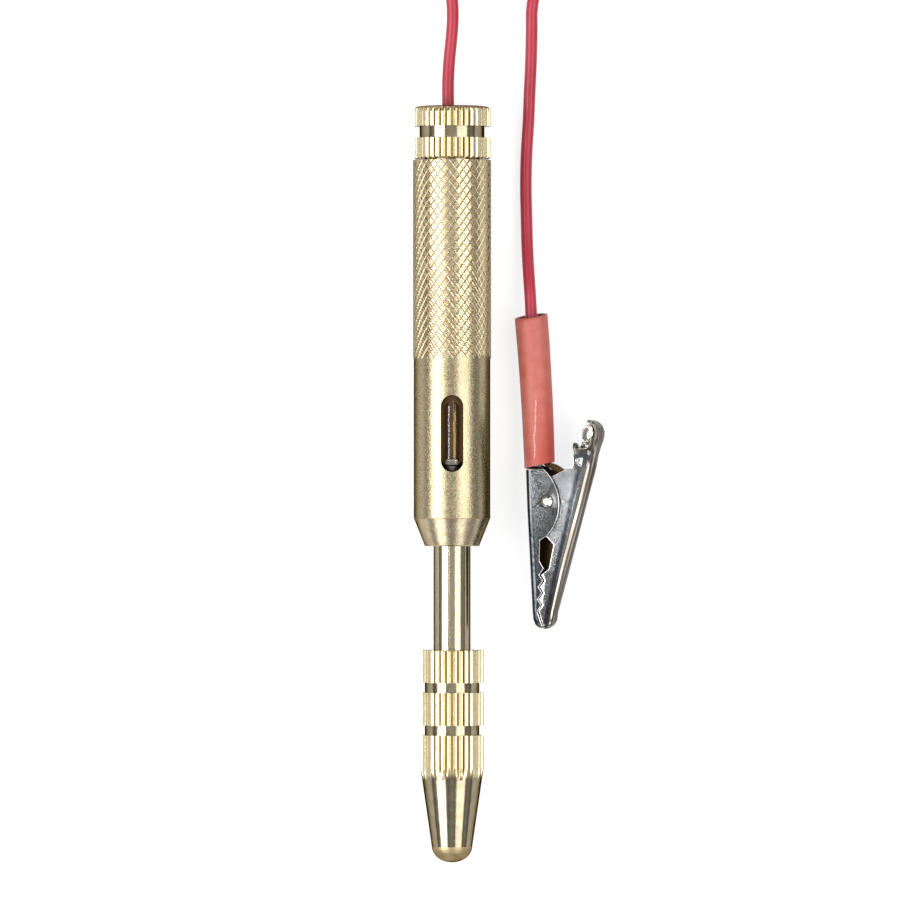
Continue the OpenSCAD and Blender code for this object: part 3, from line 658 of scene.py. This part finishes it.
TESTER_ROUTE = points_mm([
    (-0.6, 51, 6), (-0.6, 54.5, 6), (-0.6, 58.5, 6), (-0.6, 62, 6), (-0.4, 65.5, 6.1),
    (-0.1, 68.5, 6.3), (0.1, 71.5, 6.5), (0, 74.5, 6.7), (-0.6, 77.5, 6.9), (-1.4, 80.5, 6.9),
    (-2.2, 83.5, 6.9),
])
CLIP_ROUTE = points_mm([
    (17.52, 83.17, 1.32), (15.37, 80.28, 1.3), (13.4, 77.39, 1.2), (12.45, 74.3, 1.1),
    (12.3, 70, 1), (12.2, 65.5, 0.95), (12, 61, 0.93), (11.8, 56, 0.93), (11.5, 51, 0.93),
    (11.4, 46, 0.95), (11.5, 41, 1.1), (11.6, 37, 1.4), (11.8, 33, 1.95), (12, 30, 2.4),
    (12.15, 27.4, 2.53), (12.359, 23.053, 2.634), (12.583, 19.06, 2.728), (12.807, 15.068, 2.822),
    (13.031, 11.075, 2.916), (13.249, 7.182, 3.008),
])
COIL_CENTRE = Vector((6.3, 90.5, 0)) * MM
COIL_IN, COIL_OUT = 6.7, 13.7
COIL_FIRST_R, COIL_LAST_R = 9.85, 13.47
LAYER_Z = (6.905, 5.045, 3.185, 1.325)
# Each stretch of the winding: turns, radius from and to, height from and to
WINDING = [
    (1.694, COIL_FIRST_R, COIL_IN, LAYER_Z[0], LAYER_Z[0]),
    (0.25, COIL_IN, COIL_IN, LAYER_Z[0], LAYER_Z[1]),
    (3.763, COIL_IN, COIL_OUT, LAYER_Z[1], LAYER_Z[1]),
    (0.25, COIL_OUT, COIL_OUT, LAYER_Z[1], LAYER_Z[2]),
    (3.763, COIL_OUT, COIL_IN, LAYER_Z[2], LAYER_Z[2]),
    (0.25, COIL_IN, COIL_IN, LAYER_Z[2], LAYER_Z[3]),
    (3.65, COIL_IN, COIL_LAST_R, LAYER_Z[3], LAYER_Z[3]),
]
COIL_START_DEG = 203.96
STEPS_PER_TURN = 20


def coil_point(turned, r, z):
    """The point after so many turns, at a radius and height in mm."""
    angle = math.radians(COIL_START_DEG - 360 * turned)
    return COIL_CENTRE + Vector((r * math.cos(angle), r * math.sin(angle), z)) * MM


def winding():
    points = []
    turned = 0.0
    for turns, r0, r1, z0, z1 in WINDING:
        steps = round(turns * STEPS_PER_TURN)
        for t in (i / steps for i in range(steps)):
            points.append(coil_point(turned + turns * t, lerp(r0, r1, t), lerp(z0, z1, smooth(t))))
        turned += turns
    points.append(coil_point(turned, COIL_LAST_R, LAYER_Z[-1]))
    return points


def placed(name, data, material=None):
    """A new object of the data, in the scene and in its material."""
    if material:
        data.materials.append(material)
    made = bpy.data.objects.new(name, data)
    scene.collection.objects.link(made)
    return made


def curve_piece(name, points, diameter, material, bevel, resolution):
    data = bpy.data.curves.new(name, "CURVE")
    data.dimensions = "3D"
    data.bevel_depth = diameter / 2
    data.bevel_resolution = bevel
    data.resolution_u = resolution
    data.use_fill_caps = True
    spline = data.splines.new("BEZIER")
    spline.bezier_points.add(len(points) - 1)
    for target, point in zip(spline.bezier_points, points):
        target.co = point
        target.handle_left_type = target.handle_right_type = "AUTO"
    return placed(name, data, material)


def smooth_mesh_piece(name, mesh, material, sharp_deg):
    mesh.shade_smooth()
    mesh.set_sharp_from_angle(angle=math.radians(sharp_deg))
    return placed(name, mesh, material)


lead_route = TESTER_ROUTE + winding() + CLIP_ROUTE
lead = curve_piece("lead", lead_route, CORD_D, MATERIALS["red_lead"], bevel=5, resolution=3)
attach(lead, "tester")
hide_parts("cord_to_tester", "cord_coil", "cord_to_clip")

# Sleeve over the wire end of the clip, from the jaws to the lead. Radii and dents are in mm.

SLEEVE_FROM = Vector((13.49, 2.96, 3.10)) * MM
SLEEVE_TO = Vector((12.20, 25.85, 2.57)) * MM
SLEEVE_BOW = 0.17 * MM
SLEEVE_R_FROM, SLEEVE_R_TO = 2.375, 2.55
SLEEVE_WALL = 0.4
SKEW_FROM_DEG, SKEW_TO_DEG = 9.2, 5.5
PRESSED_SHARE, PRESSED_OVAL = 0.22, 0.27
DENTS, DENT_MIN, DENT_MAX = 7, 0.01, 0.025
DENT_LENGTH, DENT_WIDTH = 0.09, 0.12
END_SHARE, END_LIFT = 0.1, 0.14
LIP = 0.1 * MM
AROUND, ALONG = 64, 60


def sleeve_piece():
    """Soft sleeve, pressed oval over the jaw's end and cut off a little askew at both ends."""
    axis = (SLEEVE_TO - SLEEVE_FROM).normalized()
    side = axis.cross(Vector((0, 0, 1))).normalized()
    up = side.cross(axis)
    length = (SLEEVE_TO - SLEEVE_FROM).length
    rng = random.Random(5)
    dents = [
        (rng.uniform(0, 1), rng.uniform(0, 2 * math.pi), rng.uniform(DENT_MIN, DENT_MAX))
        for _ in range(DENTS)
    ]

    def ring(t, inset=0.0):
        points = []
        skew = math.tan(math.radians(lerp(SKEW_FROM_DEG, SKEW_TO_DEG, t)))
        oval = 1 + PRESSED_OVAL * smooth((PRESSED_SHARE - t) / PRESSED_SHARE)
        lift = END_LIFT * smooth((t - 1 + END_SHARE) / END_SHARE)
        for k in range(AROUND):
            a = 2 * math.pi * k / AROUND
            r = lerp(SLEEVE_R_FROM, SLEEVE_R_TO, t) - inset
            for at, turn, deep in dents:
                along, across = (t - at) / DENT_LENGTH, (math.cos(a - turn) - 1) / DENT_WIDTH
                r -= deep * math.exp(-(along**2) - across**2)
            local = Vector((math.cos(a) * r * MM, math.sin(a) * r * oval * MM))
            centre = SLEEVE_FROM + axis * (length * t + local.x * skew - local.y * lift)
            centre.x += SLEEVE_BOW * 4 * t * (1 - t)
            points.append(centre + side * local.x + up * local.y)
        return points

    steps = [i / ALONG for i in range(ALONG + 1)]
    rings = [ring(t) for t in steps]
    rings.append([p.lerp(q, 0.5) + axis * LIP for p, q in zip(rings[-1], ring(1.0, SLEEVE_WALL))])
    rings += [ring(t, SLEEVE_WALL) for t in reversed(steps)]
    vertices = [p for r in rings for p in r]
    faces = []
    for i in range(len(rings)):
        j = (i + 1) % len(rings)
        for k in range(AROUND):
            m = (k + 1) % AROUND
            faces.append((i * AROUND + k, i * AROUND + m, j * AROUND + m, j * AROUND + k))
    mesh = bpy.data.meshes.new("clip_sleeve_soft")
    mesh.from_pydata(vertices, [], faces)
    return smooth_mesh_piece("clip_sleeve_soft", mesh, MATERIALS["red_sleeve"], sharp_deg=60)


sleeve = sleeve_piece()
# The photo shows no red gleam of the sleeve along the barrel
sleeve.visible_glossy = False
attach(sleeve, "tester")
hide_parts("clip_sleeve")

# Diamond knurl of the grip: starts of each set of grooves, length of a diamond in mm, and the share
# of the pitch that half a groove takes up, in the deep set (A) and in the shallow one (B)

STARTS = 33
DIAMOND = 1.6
GROOVE_A, GROOVE_B = 0.145, 0.1
# Depth of set B as a share of set A's, where towards the window further grooves come up between
# its own, and the stretches of that change as shares of the grip's length
DEPTH_B_REAR, DEPTH_B_FRONT, DEPTH_B_BETWEEN = 0.6, 0.72, 0.5
CHANGE_FROM, BETWEEN_UNTIL, CHANGE_OVER = 0.5, 0.62, 0.4
# In mm: the knurl's reach under the smooth barrel, and how deep its edges are drawn in
FRONT_OVERLAP = 0.3
SKIRT_R = 5.8
# In metres
CUT_TOLERANCE = 1e-7


def grip_knurl():
    """Two crossing sets of helical grooves, the second finer towards the window."""
    a_parts = (0.0, GROOVE_A, 0.5, 1 - GROOVE_A)
    b_parts = (0.0, GROOVE_B, 0.25, 0.5 - GROOVE_B, 0.5, 0.5 + GROOVE_B, 0.75, 1 - GROOVE_B)
    na, nb = len(a_parts), len(b_parts)
    middle = (GRIP_FROM + GRIP_TO) / 2
    reach = (GRIP_TO - GRIP_FROM) / DIAMOND + 2

    def phases(ia, ib):
        return ia // na + a_parts[ia % na], ib // nb + b_parts[ib % nb]

    def y_of(a, b):
        return middle + DIAMOND * (a - b) / 2

    def radius(ia, ib):
        a, b = phases(ia, ib)
        y = y_of(a, b)
        share = (y - GRIP_FROM) / (GRIP_TO - GRIP_FROM)
        rearwards = smooth((share - CHANGE_FROM) / CHANGE_OVER)
        main_b = lerp(DEPTH_B_FRONT, DEPTH_B_REAR, rearwards)
        second_b = smooth((BETWEEN_UNTIL - share) / CHANGE_OVER)
        deep = 0.0
        if ia % na == 0:
            deep = 1.0
        if ib % nb == 0:
            deep = max(deep, main_b)
        if ib % nb == nb // 2:
            deep = max(deep, DEPTH_B_BETWEEN * second_b)
        return lerp(GRIP_CREST, GRIP_VALLEY, deep)

    bm = bmesh.new()
    made = {}

    def vertex(ia, ib):
        turn = ia // (na * STARTS)
        key = (ia - turn * na * STARTS, ib - turn * nb * STARTS)
        if key not in made:
            a, b = phases(*key)
            angle = -math.pi * (a + b) / STARTS
            r = radius(*key)
            x, z = r * math.sin(angle) * MM, AXIS_Z + r * math.cos(angle) * MM
            made[key] = bm.verts.new((x, y_of(a, b) * MM, z))
        return made[key]

    for ia in range(na * STARTS):
        a_cell = ia // na + 0.5
        first = int(math.floor((ia / na - reach) * nb))
        last = int(math.ceil((ia / na + reach) * nb))
        for ib in range(first, last):
            b_cell = math.floor(ib / (nb // 2)) / 2 + 0.25
            if y_of(a_cell, b_cell) <= GRIP_FROM:
                continue
            corners = ((ia, ib), (ia + 1, ib), (ia + 1, ib + 1), (ia, ib + 1))
            if min(y_of(*phases(*c)) for c in corners) > GRIP_TO:
                continue
            bm.faces.new([vertex(*c) for c in corners])
    for y, outwards in ((GRIP_TO, 1), (GRIP_FROM - FRONT_OVERLAP, -1)):
        everything = bm.verts[:] + bm.edges[:] + bm.faces[:]
        cut = {"plane_co": (0, y * MM, 0), "plane_no": (0, outwards, 0), "dist": CUT_TOLERANCE}
        bmesh.ops.bisect_plane(bm, geom=everything, clear_outer=True, **cut)
    rim = [e for e in bm.edges if e.is_boundary]
    pulled = bmesh.ops.extrude_edge_only(bm, edges=rim)
    for v in (g for g in pulled["geom"] if isinstance(g, bmesh.types.BMVert)):
        flat = Vector((v.co.x, v.co.z - AXIS_Z)).normalized() * SKIRT_R * MM
        v.co.x, v.co.z = flat.x, AXIS_Z + flat.y
    bmesh.ops.recalc_face_normals(bm, faces=bm.faces[:])
    # The cuts leave the faces in no fixed order, so they are put in that of their vertices
    bm.verts.index_update()
    count = len(bm.verts)
    bm.faces.sort(key=lambda face: face.verts[0].index * count + face.verts[1].index)
    mesh = bpy.data.meshes.new("grip_knurl")
    bm.to_mesh(mesh)
    bm.free()
    return smooth_mesh_piece("grip_knurl", mesh, MATERIALS["brass_grip"], sharp_deg=8)


knurl = grip_knurl()
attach(knurl, "tester")

# Coiled filament of the lamp and the rolled rim of its front end, in mm

FILAMENT_D = 0.11
FILAMENT_Y, FILAMENT_LENGTH = 4.1, 6.9
FILAMENT_X, FILAMENT_Z = 0.36, 8.0
FILAMENT_TURNS, FILAMENT_STEPS, FILAMENT_R = 60, 8, 0.12
# The straight legs: X, distance along Y from the coil's end, and Z
FRONT_LEG = ((0.2, -0.9, 6.0), (0.22, -0.3, 7.0))
REAR_LEG = ((0.3, 0.2, 7.2), (0.2, 0.6, 6.2), (0.2, 9.4, 6.0))
SWAYS, SWAY = 8, 0.07
RIM_R, RIM_Y, RIM_D = 3.24, 3.72, 0.26
RIM_STEPS = 48


def filament_piece():
    """The coil, with a straight leg to each end of the lamp."""
    points = [(x, FILAMENT_Y + y, z) for x, y, z in FRONT_LEG]
    rng = random.Random(3)
    drift = [rng.uniform(-SWAY, SWAY) for _ in range(SWAYS + 1)]
    last = FILAMENT_TURNS * FILAMENT_STEPS
    for i in range(last + 1):
        t = i / last
        k = min(int(t * SWAYS), SWAYS - 1)
        x = FILAMENT_X + lerp(drift[k], drift[k + 1], smooth(t * SWAYS - k))
        a = 2 * math.pi * i / FILAMENT_STEPS
        coil_x, coil_z = FILAMENT_R * math.cos(a), FILAMENT_R * math.sin(a)
        points.append((x + coil_x, FILAMENT_Y + FILAMENT_LENGTH * t, FILAMENT_Z + coil_z))
    y_end = FILAMENT_Y + FILAMENT_LENGTH
    points += [(x, y_end + y, z) for x, y, z in REAR_LEG]
    route = points_mm(points)
    return curve_piece("filament_coil", route, FILAMENT_D * MM, MATERIALS["filament"], 1, 1)


filament = filament_piece()
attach(filament, "tester")
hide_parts("lamp_filament")


def rim_piece():
    angles = (2 * math.pi * i / RIM_STEPS for i in range(RIM_STEPS + 1))
    points = [(RIM_R * math.sin(a), RIM_Y, AXIS_Z / MM + RIM_R * math.cos(a)) for a in angles]
    return curve_piece("lamp_rim", points_mm(points), RIM_D * MM, MATERIALS["bright_rim"], 4, 1)


rim = rim_piece()
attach(rim, "tester")

# CAD nodes: their materials, and the rounded cut edges of the two jaws

NODE_MATERIALS = {
    "barrel": "brass_barrel", "end_cap": "brass_end_cap", "tip_cap": "brass_tip_cap",
    "probe_shaft": "plated_shaft", "probe_needle": "needle_steel",
    "lamp_glass": "lamp_glass", "lamp_front_end": "lamp_metal", "lamp_rear_end": "lamp_metal",
    "contact_disc": "contact_brass", "cord_stop": "contact_brass",
    "contact_spring": "spring_steel", "clip_spring": "spring_steel",
    "insulating_liner": "brown_insulator", "insulating_washer": "brown_insulator",
    "contact_wire": "bare_copper", "clip_wire": "bare_copper", "cord_tie": "black_tie",
    "clip_fixed_jaw": "nickel_plate_fixed", "clip_moving_jaw": "nickel_plate_moving",
    "clip_rivet": "rivet_head",
}
for name, material_name in NODE_MATERIALS.items():
    node = nodes[name]
    if not node.material_slots:
        node.data.materials.append(None)
    for holder in node.material_slots:
        holder.material = MATERIALS[material_name]

SHARP_FACES_DEG = 38
CUT_EDGE = 0.11 * MM
CUT_EDGE_DEG = 50
WELD = 0.002 * MM


def smooth_faces():
    """Node group that shades a mesh smooth, with edges over SHARP_FACES_DEG sharp."""
    group = bpy.data.node_groups.new("smooth_faces", "GeometryNodeTree")
    group.is_modifier = True
    group.interface.new_socket("Geometry", in_out="INPUT", socket_type="NodeSocketGeometry")
    group.interface.new_socket("Geometry", in_out="OUTPUT", socket_type="NodeSocketGeometry")
    new, link = group.nodes.new, group.links.new
    start, end = new("NodeGroupInput"), new("NodeGroupOutput")
    drop = new("GeometryNodeRemoveAttribute")
    drop.inputs["Name"].default_value = "custom_normal"
    faces, edges = new("GeometryNodeSetShadeSmooth"), new("GeometryNodeSetShadeSmooth")
    faces.domain, edges.domain = "FACE", "EDGE"
    edges.inputs["Shade Smooth"].default_value = False
    angle = new("GeometryNodeInputMeshEdgeAngle")
    sharp = new("FunctionNodeCompare")
    sharp.operation = "GREATER_THAN"
    sharp.inputs["B"].default_value = math.radians(SHARP_FACES_DEG)
    link(start.outputs[0], drop.inputs["Geometry"])
    link(drop.outputs["Geometry"], faces.inputs["Geometry"])
    link(faces.outputs["Geometry"], edges.inputs["Geometry"])
    link(angle.outputs["Unsigned Angle"], sharp.inputs["A"])
    link(sharp.outputs[0], edges.inputs["Selection"])
    link(edges.outputs["Geometry"], end.inputs[0])
    return group


SMOOTH_FACES = smooth_faces()
for name in ("clip_fixed_jaw", "clip_moving_jaw"):
    node = nodes[name]
    # The cut edges take the pale bright_rim metal, much paler than the plate: a painted highlight
    # along them, beside the light their rounding catches
    node.data.materials.append(MATERIALS["bright_rim"])
    node.modifiers.new("weld", "WELD").merge_threshold = WELD
    bevel = node.modifiers.new("cut_edges", "BEVEL")
    bevel.width = CUT_EDGE
    bevel.face_strength_mode = "FSTR_ALL"
    bevel.segments = 3
    bevel.use_clamp_overlap = False
    bevel.material = 1
    bevel.limit_method = "ANGLE"
    bevel.angle_limit = math.radians(CUT_EDGE_DEG)
    node.modifiers.new("smooth_faces", "NODES").node_group = SMOOTH_FACES
    normals = node.modifiers.new("normals", "WEIGHTED_NORMAL")
    normals.keep_sharp = True
    normals.weight = 100
    normals.use_face_influence = True

# Floor, lamps and world

FLOOR_HALF = 6.0
FLOOR_GREY = (0.3, 0.3, 0.305, 1)
FLOOR_WHITENING = 0.78
LAMP_DISTANCE = 0.8
# Name, angle in degrees, width, length, radiance and shift along Y
LAMPS = [
    ("softbox_left", -45, 0.53, 0.56, 6.2, -0.1),
    ("softbox_left_low", -45, 0.53, 0.42, 3.4, -0.76),
    ("softbox_right", 36, 0.52, 0.54, 3.6, -0.09),
    ("softbox_right_low", 36, 0.46, 0.42, 2.6, -0.76),
    ("softbox_right_high", 42, 0.55, 0.28, 3.2, 0.64),
    ("glint", -18.5, 0.08, 0.016, 19, 0.01),
]
# Height of a direction, from 0 below to 1 above, and the world's grey there
WORLD_GREYS = [
    (0.0, 0.9), (0.02, 0.9), (0.035, 0.22), (0.1, 0.28), (0.17, 0.36), (0.34, 0.6), (0.5, 0.33),
    (0.72, 0.42), (0.93, 0.42), (0.97, 0.85), (1.0, 0.95),
]
# The world's strength falls towards the rear, from 1 to a half
REAR_FALL = {"From Min": 0.15, "From Max": 0.6, "To Min": 1.0, "To Max": 0.5}


def floor():
    """White to the camera and in mirrors, and a plain grey to all other light."""
    h = FLOOR_HALF
    mesh = bpy.data.meshes.new("floor")
    mesh.from_pydata([(-h, -h, 0), (h, -h, 0), (h, h, 0), (-h, h, 0)], [], [(0, 1, 2, 3)])
    s = Shader("floor", Roughness=0.9, Specular_IOR_Level=0.1, Base_Color=FLOOR_GREY)
    s.bsdf.inputs["Emission Color"].default_value = (1, 1, 1, 1)
    path = s.node("ShaderNodeLightPath").outputs
    mirrored = s.math("MAXIMUM", path["Is Glossy Ray"], path["Is Transmission Ray"])
    seen = s.math("MAXIMUM", path["Is Camera Ray"], mirrored)
    s.link(s.mul(seen, FLOOR_WHITENING), "Emission Strength")
    placed("floor", mesh, s.material)


def lamp(name, angle, width, length, radiance, shift):
    """A rectangular lamp at an angle from straight above, towards +X, facing the tester."""
    data = bpy.data.lights.new(name, "AREA")
    data.shape = "RECTANGLE"
    data.size = width
    data.size_y = length
    data.energy = radiance * math.pi * width * length
    made = placed(name, data)
    a = math.radians(angle)
    made.location = (LAMP_DISTANCE * math.sin(a), shift, LAMP_DISTANCE * math.cos(a))
    made.rotation_euler = (0, a, 0)


def world():
    made = bpy.data.worlds.new("studio")
    scene.world = made
    made.use_nodes = True
    tree = made.node_tree
    background = next(n for n in tree.nodes if n.type == "BACKGROUND")
    coords = tree.nodes.new("ShaderNodeTexCoord")
    split = tree.nodes.new("ShaderNodeSeparateXYZ")
    ramp = tree.nodes.new("ShaderNodeValToRGB")
    tree.links.new(coords.outputs["Generated"], split.inputs[0])
    tree.links.new(split.outputs["Z"], ramp.inputs[0])
    rear = tree.nodes.new("ShaderNodeMapRange")
    for socket, value in REAR_FALL.items():
        rear.inputs[socket].default_value = value
    tree.links.new(split.outputs["Y"], rear.inputs["Value"])
    tree.links.new(rear.outputs[0], background.inputs["Strength"])
    tree.links.new(ramp.outputs[0], background.inputs["Color"])
    while len(ramp.color_ramp.elements) < len(WORLD_GREYS):
        ramp.color_ramp.elements.new(0.5)
    for element, (at, value) in zip(ramp.color_ramp.elements, WORLD_GREYS):
        element.position = at
        element.color = (value, value, value, 1)


floor()
for values in LAMPS:
    lamp(*values)
world()
